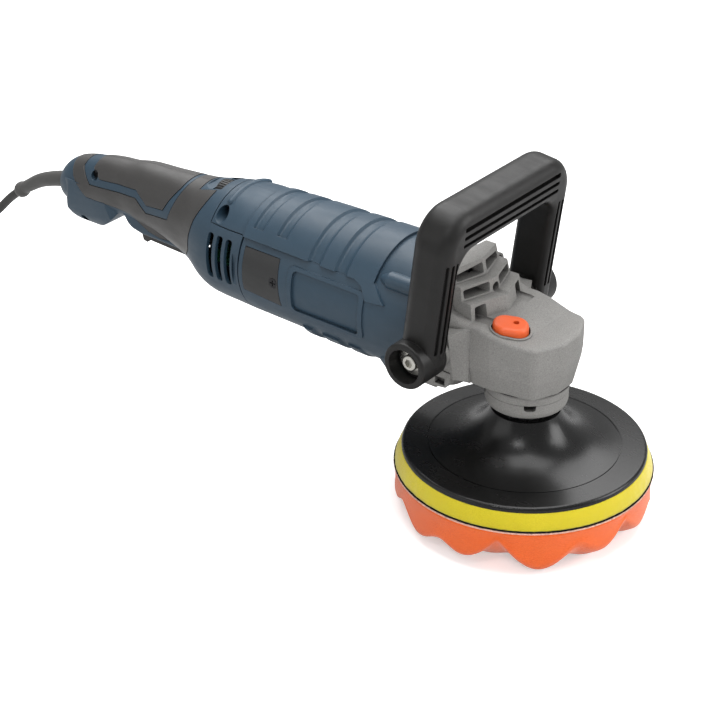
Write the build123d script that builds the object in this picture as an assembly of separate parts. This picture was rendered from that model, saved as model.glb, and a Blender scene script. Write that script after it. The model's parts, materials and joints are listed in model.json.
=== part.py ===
"""Rotary polisher with a 150 mm pad, as an assembly of separate parts.

Millimetres, +Z up. The origin is the centre of the working face of the foam pad.
Z is the spindle axis, +X points from the rear handle to the gear head and +Y to the
tool's left. The motor axis is parallel to X at height MOTOR_Z.
"""
import os
from math import acos, atan, cos, pi, radians, sin, tan

from build123d import *

# ---------------------------------------------------------------- axes and levels
MOTOR_Z = 108.5
CLEAR = 0.02            # radial gap of a seated fit
RUN = 0.06              # radial gap of a running fit

# pad stack, from the working face up
FOAM_TOP = 28.0
LOOP_TOP = 29.4
HOOK_TOP = 30.0
YELLOW_TOP = 39.8
PAD_R = 75.0
PLATE_R = 71.1
LOBE_PITCH = 34.1       # waffle face of the foam
LOBE_DEPTH = 12.0
LOBE_TURN = 80.0
LOBE_SHIFT = (-0.324, -0.678)   # place of one lobe, in pitches

# gear head
COVER_BOTTOM = 71.0
COVER_TOP = 80.0
NOSE_BOTTOM = 87.0
NOSE_TOP = 120.0
COVER_R = 24.0
SPIGOT_R = 22.0
FLANGE_BACK = -52.0
FLANGE_R = 39.5
HEAD_SCREW_R = 38.8     # ring of the four long screws
RETAINER_SCREW_R = 14.2  # ring of the three screws of the bearing plate
NOSE_PLAN = [           # corners of the gear head, seen from above
    (-24, -30.5), (-6, -30.5), (20.5, -26.0), (28.5, -8.0),
    (28.5, 8.0), (20.5, 26.0), (-6, 30.5), (-24, 30.5),
]

# spindle
SPINDLE_R = 6.0
SPINDLE_TOP = 112.8

# bevel gears: the pinion has its teeth on the motor axis, the wheel lies below it
MODULE = 1.1
WHEEL_TEETH = 39
PINION_TEETH = 9
FACE_WIDTH = 6.5
PRESSURE_ANGLE = radians(20)
THIN = 0.80             # tooth thickness as a share of the full one, for backlash
PINION_ADD = 1.05
PINION_DED = 1.05
WHEEL_ADD = 0.75
WHEEL_DED = 1.25
WHEEL_RIM_R = 21.85     # just small enough to pass the bearing cover's opening

# spindle lock
BUTTON_X = -2.5
BUTTON_Y = -15.5
BUTTON_TURN = 30.0
PIN_RING_R = 12.0       # radius of the ring of lock holes in the wheel
PIN_R = 2.0

# loop handle
LOOP_X = -38.0
LOOP_LEAN = 7.0
LOOP_BOSS_R = 13.8
LOOP_HALF_DEPTH = 12.5
LOOP_OUTER_Y = 61.0
LOOP_INNER_Y = 45.5
LOOP_BOSS_Y = 67.0

# motor
SHAFT_R = 5.0
CORE_FRONT = -78.0
CORE_BACK = -128.0
CORE_R = 18.3
FIELD_BORE_R = 19.0
FIELD_R = 33.0
BRUSH_X = -160.0
BRUSH_SCREW = (-156.6, 110.5)   # x and z of the brush cover's screw
SEAM_X = -184.0         # joint between motor housing and rear handle shells
RAISED_EDGE = [         # side outline of the raised skin over the housing
    (SEAM_X, 131.0), (-98, 130.6), (-92, 128.4), (-87, 121.5), (-74, 122.5),
    (-80, 128.0), (-84.5, 131.7), (-84.5, 160), (SEAM_X, 160),
]
TOP_GROOVES = [         # back, front, floor radius and half angle of each groove
    (-180.0, -170.5, 38.2, 45), (-161.5, -152.5, 38.4, 45),
    (-133.5, -123.5, 38.9, 57), (-113.3, -104.2, 39.1, 57),
]

# rear handle sections: x, half width, half height, height of the centre
HANDLE_SECTIONS = [
    (SEAM_X, 37.6, 38.5, 109.4),
    (-192, 37.3, 38.3, 109.5),
    (-200, 37.0, 38.0, 109.5),
    (-208, 36.4, 37.6, 109.2),
    (-216, 35.3, 36.9, 108.9),
    (-224, 33.2, 35.2, 108.9),
    (-232, 29.9, 32.3, 110.1),
    (-241, 26.1, 28.8, 112.0),
    (-252, 23.2, 26.2, 113.9),
    (-265, 20.7, 23.8, 115.6),
    (-280, 18.9, 21.9, 116.9),
    (-297, 17.4, 20.4, 116.6),
    (-315, 16.8, 19.2, 115.3),
    (-333, 16.4, 18.6, 112.8),
    (-346, 15.9, 17.6, 110.9),
    (-355, 14.3, 15.8, 109.2),
    (-361, 11.6, 12.8, 107.6),
    (-365, 7.5, 8.5, 106.4),
]
SHELL = 2.6             # wall of the handle shells
PANEL_DEPTH = 1.2       # how deep the soft grip panels are let in
PANEL_PROUD = 0.25
PANEL_SEAM = 0.4        # gap round each panel
PANEL_UPPER = [         # side outline of the upper grip panel
    (-330, 150), (-329, 128), (-320.5, 123.5), (-286.5, 126.5), (-276, 119.5),
    (-260.5, 121.5), (-256.5, 128.5), (-251.5, 136), (-247, 150),
]
BAND_TOP = [            # upper edge of the grip band, from the back forwards
    (-341, 150), (-339, 126.5), (-329, 117.5), (-286.5, 121), (-277, 113.5),
    (-255.5, 116.5), (-252, 126), (-248.5, 136), (-243, 150),
]
BAND_BOTTOM = [         # its lower edge, from the front back
    (-221.5, 150), (-223.5, 138.5), (-228.5, 127), (-231, 116.5), (-232, 106), (-238, 99.5),
    (-247.5, 98.5), (-258, 97), (-271, 96), (-281, 98), (-290, 102.5), (-294.5, 107),
    (-333.5, 108), (-345, 119), (-352, 128), (-353, 150),
]
SHELL_SCREWS = [        # x, z, radius of the post, depth of the head below the side, radius of the well
    (-326.0, 124.2, 4.2, 9.0, 3.2),
    (-206.0, 136.2, 6.4, 14.0, 4.4),
]
HEEL_SCREW = (-341.0, 88.4)     # recess in the heel

TRIGGER_X = -251.5      # trigger pivot
TRIGGER_Z = 98.0
DIAL_Z = 134.8          # axis of the speed dial
GUARD_Z = 105.6         # height of the cord at the back of the handle
CORD_R = 3.0
CORD_PATH = [(-326, 105.8), (-345, 105.8), (-366, 105.6), (-388.5, 99), (-404, 90.5), (-415.5, 82.5)]
CORD_END = [(-425.5, 74.5), (-436.5, 64), (-448.5, 53.5), (-462, 43.5)]
GUARD_STEPS = [         # share of the path and radius at both ends of each length
    (0.30, 7.0, 0.37, 7.0),
    (0.37, 5.0, 0.55, 5.0),
    (0.55, 5.0, 0.75, 4.7),
    (0.75, 4.7, 0.93, 4.3),
    (0.93, 5.4, 0.985, 5.4),
]

OUT = "parts"


# ---------------------------------------------------------------- small helpers
def cyl_x(radius, x0, x1, y=0.0, z=MOTOR_Z):
    """Cylinder along X between two stations."""
    return Pos((x0 + x1) / 2, y, z) * Rot(0, 90, 0) * Cylinder(radius, abs(x1 - x0))


def cyl_y(radius, y0, y1, x, z):
    """Cylinder along Y between two stations."""
    return Pos(x, (y0 + y1) / 2, z) * Rot(90, 0, 0) * Cylinder(radius, abs(y1 - y0))


def cyl_z(radius, z0, z1, x=0.0, y=0.0):
    """Cylinder along Z between two levels."""
    return Pos(x, y, (z0 + z1) / 2) * Cylinder(radius, abs(z1 - z0))


def block(x0, x1, y0, y1, z0, z1):
    """Axis-aligned block between two corners."""
    centre = Pos((x0 + x1) / 2, (y0 + y1) / 2, (z0 + z1) / 2)
    return centre * Box(abs(x1 - x0), abs(y1 - y0), abs(z1 - z0))


def side_prism(points, y0, y1):
    """Outline in the XZ plane, extruded from y0 to y1."""
    plane = Plane(origin=(0, y1, 0), x_dir=(1, 0, 0), z_dir=(0, -1, 0))
    return extrude(plane * make_face(Polyline(*points, close=True)), y1 - y0)


def front_prism(points, x0, x1):
    """Outline in the YZ plane, extruded from x0 to x1."""
    plane = Plane(origin=(x0, 0, 0), x_dir=(0, 1, 0), z_dir=(1, 0, 0))
    return extrude(plane * make_face(Polyline(*points, close=True)), x1 - x0)


def lathe_z(profile, z_axis=0.0):
    """Outline of (radius, height) points turned about the spindle axis."""
    face = Plane.XZ * make_face(Polyline(*profile, close=True))
    return Pos(0, 0, z_axis) * revolve(face, Axis.Z)


def lathe_x(profile):
    """Outline of (x, radius) points turned about the motor axis."""
    face = Plane.XZ * make_face(Polyline(*profile, close=True))
    return Pos(0, 0, MOTOR_Z) * revolve(face, Axis.X)


def mirrored(shape):
    """The same shape on the other side of the tool."""
    return mirror(shape, Plane.XZ)


def both_sides(shape):
    """A shape and its mirror image as two separate solids."""
    return Compound(children=[shape, mirrored(shape)])


def group(shapes):
    """Several separate solids that share one node."""
    return Compound(children=list(shapes))


def spin_x(shape, angle):
    """Turn a shape about the motor axis."""
    return shape.rotate(Axis((0, 0, MOTOR_Z), (1, 0, 0)), angle)


def spin_z(shape, angle):
    """Turn a shape about the spindle axis."""
    return shape.rotate(Axis.Z, angle)


def coil(radius, wire, bottom, top, turns, x=0.0, y=0.0):
    """Compression spring along Z."""
    height = top - bottom - 2 * wire
    path = Pos(x, y, bottom + wire) * Helix(height / turns, height, radius)
    section = Plane(path @ 0, z_dir=path % 0) * Circle(wire)
    return sweep(section, path)


def write(name, shape):
    """Save one node."""
    export_step(shape, os.path.join(OUT, name + ".step"))


# ---------------------------------------------------------------- pad stack
def backing_plate():
    """Moulded plate whose upper face sweeps up in one hollow curve to the hub."""
    hollow = Spline(
        (57.0, 0, 43.4), (46.0, 0, 45.3), (36.0, 0, 49.2),
        (28.0, 0, 55.0), (23.2, 0, 61.0), (20.4, 0, 66.5),
    )
    rest = Polyline(
        (20.4, 0, 66.5), (16.0, 0, 66.5), (16.0, 0, YELLOW_TOP), (PLATE_R, 0, YELLOW_TOP),
        (PLATE_R, 0, 42.7), (57.0, 0, 43.4),
    )
    plate = revolve(make_face([hollow, rest]), Axis.Z)
    rim = plate.edges().filter_by(lambda e: abs(e.center().Z - 42.7) < 0.05 and e.length > 300)
    plate = fillet(rim, 2.0)
    groove = lathe_z([(55.7, 43.0), (56.3, 43.0), (56.3, 45.0), (55.7, 45.0)])
    return plate - groove


def hub_insert():
    body = lathe_z([(7.0, 41.0), (15.0, 41.0), (16.0, 42.5), (16.0, 66.5), (7.0, 66.5)])
    for turn in range(6):
        flute = Pos(16.6, 0, 50) * Cylinder(1.2, 12)
        body -= spin_z(flute, 60 * turn)
    return body


def plate_foam():
    return lathe_z([(0, HOOK_TOP), (PAD_R, HOOK_TOP), (PLATE_R + 0.4, YELLOW_TOP), (0, YELLOW_TOP)])


def hook_layer():
    return cyl_z(PAD_R - 1.0, LOOP_TOP, HOOK_TOP)


def loop_layer():
    return cyl_z(PAD_R - 0.2, FOAM_TOP, LOOP_TOP)


def foam_pad():
    """Solid of the foam with a waffle face: a grid of soft lobes, one on the axis, over a flat back."""
    edge = lathe_z([(0, 0), (PAD_R - 11.0, 0), (PAD_R, 8.0), (PAD_R, FOAM_TOP), (0, FOAM_TOP)])
    back = lathe_z([(0, LOBE_DEPTH), (PAD_R, LOBE_DEPTH), (PAD_R, FOAM_TOP), (0, FOAM_TOP)])
    top = LOBE_DEPTH + 0.3
    lobe = lathe_z([
        (0, 0), (3.5, 0), (7.0, 0.9), (11.0, 2.8), (15.0, 5.6), (18.0, 8.7), (20.5, top), (0, top),
    ])
    centre = lathe_z([(0, 0), (6.0, 0), (9.5, 1.2), (13.0, 4.0), (16.0, 8.0), (18.0, top), (0, top)])
    lobes = [centre]
    for row in range(-2, 4):
        for column in range(-2, 4):
            x = (row + LOBE_SHIFT[0]) * LOBE_PITCH
            y = (column + LOBE_SHIFT[1]) * LOBE_PITCH
            if x * x + y * y < 88.0 ** 2:
                lobes.append(spin_z(Pos(x, y, 0) * lobe, LOBE_TURN))
    return edge & (back + lobes)


# ---------------------------------------------------------------- spindle and gears
def spindle():
    profile = [
        (0, 46.0), (5.8, 46.0), (6.9, 47.2), (6.9, 68.0), (12.0, 68.0), (12.0, 71.2), (8.0, 71.2),
        (8.0, 75.5), (SPINDLE_R, 75.5), (SPINDLE_R, SPINDLE_TOP - 0.6),
        (SPINDLE_R - 0.6, SPINDLE_TOP), (0, SPINDLE_TOP),
    ]
    shaft = lathe_z(profile)
    flats = block(10.4, 13, -12, 12, 68.0, 71.2) + block(-13, -10.4, -12, 12, 68.0, 71.2)
    ring_groove = lathe_z([(5.2, 103.1), (7, 103.1), (7, 104.2), (5.2, 104.2)])
    return shaft - flats - ring_groove


def bearing(bore, outer, width):
    """Deep-groove ball bearing about Z, centred on the origin, as one solid."""
    step = (outer - bore) / 4
    face = width / 2
    dish = 0.5
    profile = [
        (bore, -face), (bore + step, -face), (bore + step, -face + dish), (outer - step, -face + dish),
        (outer - step, -face), (outer, -face), (outer, face), (outer - step, face),
        (outer - step, face - dish), (bore + step, face - dish), (bore + step, face), (bore, face),
    ]
    return lathe_z(profile)


def bearing_x(bore, outer, x0, x1):
    """The same bearing on the motor axis."""
    return Pos((x0 + x1) / 2, 0, MOTOR_Z) * Rot(0, 90, 0) * bearing(bore, outer, abs(x1 - x0))


def cone_point(pitch_angle, distance, offset):
    """Radius and height of a point on a cone with its apex at the origin and opening down."""
    radius = distance * sin(pitch_angle) + offset * cos(pitch_angle)
    height = -distance * cos(pitch_angle) + offset * sin(pitch_angle)
    return radius, height


def tooth(pitch_angle, cone_distance, outline):
    """One straight bevel tooth, tapering to the apex. The outline is (offset, half width)."""
    wires = []
    for scale in (1.0, (cone_distance - FACE_WIDTH) / cone_distance):
        points = []
        for offset, half in outline:
            radius, height = cone_point(pitch_angle, cone_distance, offset)
            points.append((radius * scale, half * scale, height * scale))
        for offset, half in reversed(outline):
            radius, height = cone_point(pitch_angle, cone_distance, offset)
            points.append((radius * scale, -half * scale, height * scale))
        wires.append(make_face(Polyline(*points, close=True)))
    return loft(wires, ruled=True)


def wheel_outline():
    """Straight-sided tooth of the large wheel."""
    half_pitch = pi * MODULE / 4 * THIN
    rows = []
    for offset in (-WHEEL_DED * 0.95 - 0.3, WHEEL_ADD):
        rows.append((offset, half_pitch - offset * tan(PRESSURE_ANGLE)))
    return rows


def pinion_outline(radius):
    """Involute tooth of the pinion, with radial flanks below its base circle."""
    base = radius * cos(PRESSURE_ANGLE)
    flat = tan(PRESSURE_ANGLE) - PRESSURE_ANGLE
    half_angle = pi / (2 * PINION_TEETH) * THIN + flat
    rows = [(-PINION_DED - 0.3, (radius - PINION_DED - 0.3) * sin(half_angle))]
    for step in range(5):
        rho = base + (radius + PINION_ADD - base) * step / 4
        angle = acos(min(1.0, base / rho))
        turned = half_angle - (tan(angle) - angle)
        rows.append((rho * cos(turned) - radius, rho * sin(turned)))
    return rows


def bevel_wheel():
    pitch_angle = atan(WHEEL_TEETH / PINION_TEETH)
    pitch_r = MODULE * WHEEL_TEETH / 2
    distance = pitch_r / sin(pitch_angle)
    root = cone_point(pitch_angle, distance, -WHEEL_DED)
    slope = root[1] / root[0]
    rim_r = WHEEL_RIM_R
    toe_r = 14.3
    profile = [
        (SPINDLE_R, 85.6), (9.3, 85.6), (9.3, 94.5), (rim_r - 1.2, 94.5), (rim_r, 95.7),
        (rim_r, MOTOR_Z + slope * rim_r), (toe_r, MOTOR_Z + slope * toe_r), (toe_r, 101.0), (9.3, 101.0),
        (9.3, 103.0), (SPINDLE_R, 103.0),
    ]
    wheel = lathe_z(profile)
    shape = Pos(0, 0, MOTOR_Z) * tooth(pitch_angle, distance, wheel_outline())
    pitch = 360 / WHEEL_TEETH
    wheel = wheel + [spin_z(shape, 180 + (k + 0.5) * pitch) for k in range(WHEEL_TEETH)]
    hole = cyl_z(PIN_R + 0.4, 90, 106, *lock_pin_place())
    return wheel - [spin_z(hole, 90 * k) for k in range(4)]


def bevel_pinion():
    pitch_angle = atan(PINION_TEETH / WHEEL_TEETH)
    pitch_r = MODULE * PINION_TEETH / 2
    distance = pitch_r / sin(pitch_angle)
    small = (distance - FACE_WIDTH) / distance
    outer = cone_point(pitch_angle, distance, -PINION_DED)
    profile = [
        (2.0, outer[1] * small), (outer[0] * small, outer[1] * small), (outer[0], outer[1]),
        (5.6, outer[1] - 1.4), (5.6, -26.8), (2.0, -26.8),
    ]
    pinion = lathe_z(profile)
    shape = tooth(pitch_angle, distance, pinion_outline(pitch_r))
    pinion = pinion + [spin_z(shape, k * 360 / PINION_TEETH) for k in range(PINION_TEETH)]
    return Pos(0, 0, MOTOR_Z) * Rot(0, 90, 0) * pinion


def pinion_nut():
    nut = Rot(0, 90, 0) * extrude(RegularPolygon(3.9, 6), 2.6)
    return Pos(-14.6, 0, MOTOR_Z) * nut - cyl_x(2.0, -16, -10)


def retaining_ring():
    ring = lathe_z([(5.3, 103.15), (8.0, 103.15), (8.0, 104.15), (5.3, 104.15)])
    return ring - block(4, 9, -1.6, 1.6, 102, 105)


def needle_bush():
    return lathe_z([(SPINDLE_R + RUN, 107.0), (8.0, 107.0), (8.0, 113.0), (SPINDLE_R + RUN, 113.0)])


def dust_seal():
    return lathe_z([(8.0 + RUN, 72.6), (12.4, 72.6), (12.4, 75.2), (8.0 + RUN, 75.2)])


def bearing_cover():
    profile = [
        (12.6, COVER_BOTTOM), (22.4, COVER_BOTTOM), (23.4, 72.0), (COVER_R, 74.0),
        (COVER_R, COVER_TOP - 0.3), (COVER_R - 0.5, COVER_TOP), (SPIGOT_R - CLEAR, COVER_TOP),
        (SPIGOT_R - CLEAR, 86.0), (16.0 + CLEAR, 86.0), (16.0 + CLEAR, 75.5), (12.6, 75.5),
    ]
    cover = lathe_z(profile)
    notch = block(18.6, 26, -3.4, 3.4, 76.4, COVER_TOP + 1)
    notch = fillet(notch.edges().filter_by(Axis.X).group_by(Axis.Z)[0], 1.8)
    return cover - [spin_z(notch, -52 + 90 * k) for k in range(4)]


# ---------------------------------------------------------------- gear housing
def nose_section(inset, z):
    """Plan of the gear head at one height, with soft front corners."""
    face = make_face(Polyline(*NOSE_PLAN, close=True))
    face = fillet(face.vertices().sort_by(Axis.X)[2:], 7.5)
    if inset:
        face = offset(face, amount=-inset)
    return Pos(0, 0, z) * face


def nose_blank():
    """Outer body of the gear head: cornered plan, slight draft, sloped roof with a soft rim."""
    lower = loft([nose_section(3.0, NOSE_BOTTOM), nose_section(0.6, 98.0)], ruled=True)
    lower += loft([nose_section(0.6, 98.0), nose_section(0, 104.0)], ruled=True)
    body = lower + extrude(nose_section(0, 104.0), 24)
    roof = [(9.0, NOSE_TOP), (40, NOSE_TOP), (40, 135), (-40, 135), (-40, 124.0), (-14, 124.0)]
    body -= side_prism(roof, -40, 40)
    high = body.edges().filter_by(lambda e: e.center().Z > 118 and e.center().X > -23.9)
    rim = high.filter_by(lambda e: e.center().X > 9.5 or abs(e.center().Y) > 20)
    body = fillet(rim, 2.2)
    return body + extrude(nose_section(4.2, NOSE_BOTTOM - 1.1), 1.2)


def vent_tier(points, z0, z1, lean, fall=0.0):
    """One step of the louvre block. Its front leans back, and its top falls away to both sides."""
    outline = points + [(-46.0, points[-1][1]), (-46.0, points[0][1])]
    low = Pos(0, 0, z0) * make_face(Polyline(*outline, close=True))
    upper = [(x - lean if x > -45 else x, y * 0.96) for x, y in outline]
    high = Pos(0, 0, z1) * make_face(Polyline(*upper, close=True))
    tier = loft([low, high], ruled=True)
    if fall:
        low = z1 - fall * 1.7
        tier &= front_prism([(-40, z0), (-40, low), (0, z1), (40, low), (40, z0)], -50, 0)
    return tier


def shoulder_section(x, low_half, low_z, high_half, high_z):
    """Four-cornered cross section of the gear head at one station."""
    corners = [(low_half, low_z), (high_half, high_z), (-high_half, high_z), (-low_half, low_z)]
    return make_face(Polyline(*[(x, y, z) for y, z in corners], close=True))


def gear_housing():
    housing = nose_blank()
    neck_top = NOSE_BOTTOM - 1.0
    neck = [(0, COVER_TOP), (COVER_R, COVER_TOP), (COVER_R, 84.0), (25.6, neck_top), (0, neck_top)]
    housing += lathe_z(neck)

    # flare from the nose to the round motor flange
    front = Pos(-19.5, 0, 105.4) * Rot(0, 90, 0) * RectangleRounded(36, 61.6, 2.5)
    middle = Pos(-35, 0, 106.6) * Rot(0, 90, 0) * RectangleRounded(42, 68, 6)
    back = Pos(-41, 0, MOTOR_Z) * Rot(0, 90, 0) * RectangleRounded(62, 76, 22)
    housing += loft([front, middle, back], ruled=True)
    housing += lathe_x([(-36, 0), (-36, 34.5), (-41, FLANGE_R), (FLANGE_BACK, FLANGE_R), (FLANGE_BACK, 0)])

    # shoulders that carry the loop handle, wider at the top
    inner = shoulder_section(-20.5, 30.6, 88.5, 30.6, 122.6)
    outer = shoulder_section(-26.5, 35.5, 90.0, 42.0, 121.4)
    rear = shoulder_section(-47.0, 36.5, 92.0, 42.0, 119.0)
    housing += loft([inner, outer], ruled=True) + loft([outer, rear], ruled=True)

    # corner lobes that take the long screws, the lower ones running on as feet
    for y, z in housing_screw_places():
        housing += cyl_x(5.2, FLANGE_BACK, -41.5, y, z)
    foot = side_prism([(-27.5, 94), (-28.5, 86.5), (-30.5, 84.0), (-42, 82.6), (-42, 95)], -37.2, -26)
    foot = fillet(foot.edges().filter_by(Axis.Y), 0.9)
    foot -= block(-38.0, -31.2, -40, -33.2, 85.2, 89.8)
    housing += foot
    housing += mirrored(foot)

    # three steps of the louvre block
    bottom = [(-21.5, -25.0), (-13.4, -1.5), (-13.4, 1.5), (-21.5, 25.0)]
    middle = [(-30.2, -24.0), (-22.8, -1.5), (-22.8, 1.5), (-30.2, 24.0)]
    top = [(-37.2, -22.5), (-30.6, -1.5), (-30.6, 1.5), (-37.2, 22.5)]
    housing += vent_tier(bottom, 118.0, 133.6, 2.6)
    housing += vent_tier(middle, 133.0, 141.4, 1.6)
    housing += vent_tier(top, 140.8, 151.0, 2.2, 1.6)
    crest = lathe_x([(-52, 34), (-52, 41.6), (-42, 42.6), (-38.5, 41.0), (-36.5, 34)])
    housing += crest & wedge(radians(22), -52, -36)

    # bosses that carry the loop handle
    pad = cyl_y(11.5, -44.0, -30.0, LOOP_X, MOTOR_Z)
    housing += pad
    housing += mirrored(pad)

    # raised oval rim around the lock button
    housing += button_frame() * extrude(button_outline(2.1), 1.5)

    housing -= gear_housing_cavities()
    return housing


def button_frame():
    """Plane of the roof under the lock button, turned to the button's long axis."""
    return Pos(BUTTON_X, BUTTON_Y, 121.3) * Rot(0, 9.9, 0) * Rot(0, 0, BUTTON_TURN)


def button_outline(grow):
    """Rounded outline of the button: flat on its outer side, round elsewhere."""
    half_long = 10.2 + grow
    half_short = 8.4 + grow
    return RectangleRounded(2 * half_long, 2 * half_short, 7.8 + grow)


def gear_housing_cavities():
    cuts = []
    cuts.append(cyl_z(SPIGOT_R, COVER_TOP - 1, 106.5))
    cuts.append(cyl_z(8.0 + CLEAR, 100, 113.0 + CLEAR))
    cuts.append(cyl_z(3.0, 110, 114.0))
    cuts.append(cyl_x(7.3, -28, -9.8))
    cuts.append(cyl_x(11.0 + CLEAR, -40, -27.2))
    cuts.append(cyl_x(17.5, -40, -34.4))
    cuts.append(cyl_x(34.5, FLANGE_BACK - 1, -38.0))
    pocket = Pos(0, 0, 114.6) * extrude(button_outline(0.8), 14)
    cuts.append(Pos(BUTTON_X, BUTTON_Y, 0) * Rot(0, 0, BUTTON_TURN) * pocket)
    pin_x, pin_y = lock_pin_place()
    cuts.append(cyl_z(PIN_R + RUN, 100, 116, pin_x, pin_y))
    cuts.append(cyl_z(4.4, 109.6, 116, pin_x, pin_y))

    # openings of the louvre block, mirrored about the middle
    windows = [
        ([(-19.6, 146.0), (-20.0, 142.0), (-1.4, 142.6), (-1.4, 149.0)], -50, -28.4),
        ([(-21.8, 139.4), (-22.0, 134.4), (-5.0, 134.4), (-4.4, 140.2)], -50, -20.0),
        ([(-21.6, 131.4), (-22.6, 122.6), (-14.6, 122.9), (-14.4, 132.2)], -50, -12.0),
    ]
    for outline, x0, x1 in windows:
        window = front_prism(outline, x0, x1)
        window = fillet(window.edges().filter_by(Axis.X), 1.1)
        cuts.append(window)
        cuts.append(mirrored(window))
    cuts.append(cyl_x(2.9, -45, -12, 0, 135.6))

    # threads for the handle bolts and the four long screws
    for side in (-1, 1):
        cuts.append(cyl_y(3.0, side * 36.0, side * 45.0, LOOP_X, MOTOR_Z))
    for y, z in housing_screw_places():
        cuts.append(cyl_x(1.9 + CLEAR, -53, -41, y, z))
        cuts.append(cyl_x(3.7, -45.0, -24, y, z))
    for turn in range(3):
        thread = cyl_x(1.25, -41, -30, 0, MOTOR_Z + RETAINER_SCREW_R)
        cuts.append(spin_x(thread, 60 + 120 * turn))
    return cuts


def housing_screw_places():
    """Screw centres between the gear housing and the motor housing."""
    places = []
    for turn in (42, 138, 222, 318):
        angle = radians(turn)
        places.append((HEAD_SCREW_R * cos(angle), MOTOR_Z + HEAD_SCREW_R * sin(angle)))
    return places


# ---------------------------------------------------------------- spindle lock
def lock_pin_place():
    length = (BUTTON_X ** 2 + BUTTON_Y ** 2) ** 0.5
    return BUTTON_X / length * PIN_RING_R, BUTTON_Y / length * PIN_RING_R


def lock_button():
    """Cap with a tilted, rounded top that follows the slope of the roof."""
    base = Pos(BUTTON_X, BUTTON_Y, 0) * Rot(0, 0, BUTTON_TURN)
    foot = base * Pos(0, 0, 119.2) * button_outline(0.0)
    rings = []
    for inset, height in ((0.0, 124.4), (0.3, 125.3), (0.9, 126.0), (1.9, 126.4)):
        tilt = Pos(BUTTON_X, BUTTON_Y, height) * Rot(0, 6, 0) * Rot(0, 0, BUTTON_TURN)
        rings.append(tilt * button_outline(-inset))
    body = loft([foot, rings[0]], ruled=True)
    for low, high in zip(rings, rings[1:]):
        body += loft([low, high], ruled=True)
    eye = cyl_z(1.8, 122.5, 130, BUTTON_X + 2.2, BUTTON_Y + 2.0)
    pin_x, pin_y = lock_pin_place()
    return body - eye - cyl_z(PIN_R, 119, 121.5, pin_x, pin_y)


def lock_pin():
    return cyl_z(PIN_R, 102.2, 121.5, *lock_pin_place())


def lock_spring():
    return coil(3.2, 0.45, 109.7, 119.1, 5, *lock_pin_place())


# ---------------------------------------------------------------- loop handle
def loop_handle():
    """D-shaped loop built upright about its boss axis, then leaned forward."""
    outer = Pos(0, 0, 30) * front_face_rounded(2 * LOOP_OUTER_Y, 126, 21)
    inner = Pos(0, 0, 3) * front_face_rounded(2 * LOOP_INNER_Y, 131, 12)
    frame = Pos(-LOOP_HALF_DEPTH, 0, 0) * extrude(outer, 2 * LOOP_HALF_DEPTH)
    frame -= Pos(-LOOP_HALF_DEPTH - 1, 0, 0) * extrude(inner, 2 * LOOP_HALF_DEPTH + 2)
    frame = Pos(2.0, 0, 0) * frame
    side = side_prism([(-10.5, 0), (14.5, 0), (14.5, 100), (-10.5, 100)], -70, 70)
    frame &= side
    above = frame.edges().filter_by(lambda e: e.center().Z > 5)
    frame = fillet(above.filter_by(lambda e: e.center().Z > 80 or abs(e.center().Y) > 50), 8.0)
    above = frame.edges().filter_by(lambda e: e.center().Z > 5)
    inner_legs = above.filter_by(lambda e: e.center().Z < 70 and 20 < abs(e.center().Y) < 46)
    inner_bar = above.filter_by(lambda e: abs(e.center().Z - 68.5) < 0.1)
    frame = fillet(inner_legs + inner_bar, 5.0)
    foot = cyl_y(LOOP_BOSS_R, -LOOP_OUTER_Y, -LOOP_INNER_Y, 0, 0)
    outer_boss = cyl_y(LOOP_BOSS_R, -LOOP_BOSS_Y, -LOOP_OUTER_Y, 0, 0)
    outer_boss = fillet(outer_boss.edges().group_by(Axis.Y)[0], 1.4)
    inner_boss = cyl_y(12.6, -LOOP_INNER_Y, -44.1, 0, 0)
    for piece in (foot, outer_boss, inner_boss):
        frame += piece
        frame += mirrored(piece)
    recess = cyl_y(10.2, -LOOP_BOSS_Y - 1, -57.0, 0, 0)
    bore = cyl_y(3.0 + RUN, -70, -40, 0, 0)
    for cut in (recess, bore):
        frame -= cut
        frame -= mirrored(cut)
    frame -= loop_grooves()
    frame = frame.rotate(Axis.Y, LOOP_LEAN)
    return Pos(LOOP_X, 0, MOTOR_Z) * frame


def front_face_rounded(width, height, radius):
    """Rounded rectangle standing in the YZ plane."""
    return Rot(0, 90, 0) * RectangleRounded(height, width, radius)


def loop_grooves():
    """Deep finger grooves on the front of the bar and of both legs."""
    grooves = []
    for z, high in ((74.6, 2.2), (79.4, 2.4), (84.6, 3.0)):
        slot = block(11.6, 17, -46, 46, z - high / 2, z + high / 2)
        grooves.append(fillet(slot.edges().filter_by(Axis.X), 1.0))
    for y, wide in ((49.7, 1.8), (53.3, 2.2), (57.0, 1.8)):
        slot = block(12.0, 17, y - wide / 2, y + wide / 2, 9, 66)
        slot = fillet(slot.edges().filter_by(Axis.X), 0.8)
        grooves.append(slot)
        grooves.append(mirrored(slot))
    return grooves


def handle_bolts():
    """Round-headed bolts with a hexagon socket."""
    head = cyl_y(4.7, -62.4, -59.0, LOOP_X, MOTOR_Z)
    head = fillet(head.edges().group_by(Axis.Y)[0], 0.9)
    flange = cyl_y(6.0, -59.0, -58.2, LOOP_X, MOTOR_Z)
    socket = Pos(LOOP_X, -60.4, MOTOR_Z) * Rot(90, 0, 0) * extrude(RegularPolygon(2.6, 6), 4.0)
    shank = cyl_y(3.0, -58.3, -36.2, LOOP_X, MOTOR_Z)
    return both_sides(head + flange + shank - socket)


def handle_washers():
    ring = cyl_y(8.6, -58.2, -57.0, LOOP_X, MOTOR_Z) - cyl_y(3.0 + CLEAR, -60, -55, LOOP_X, MOTOR_Z)
    return both_sides(ring)


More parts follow.
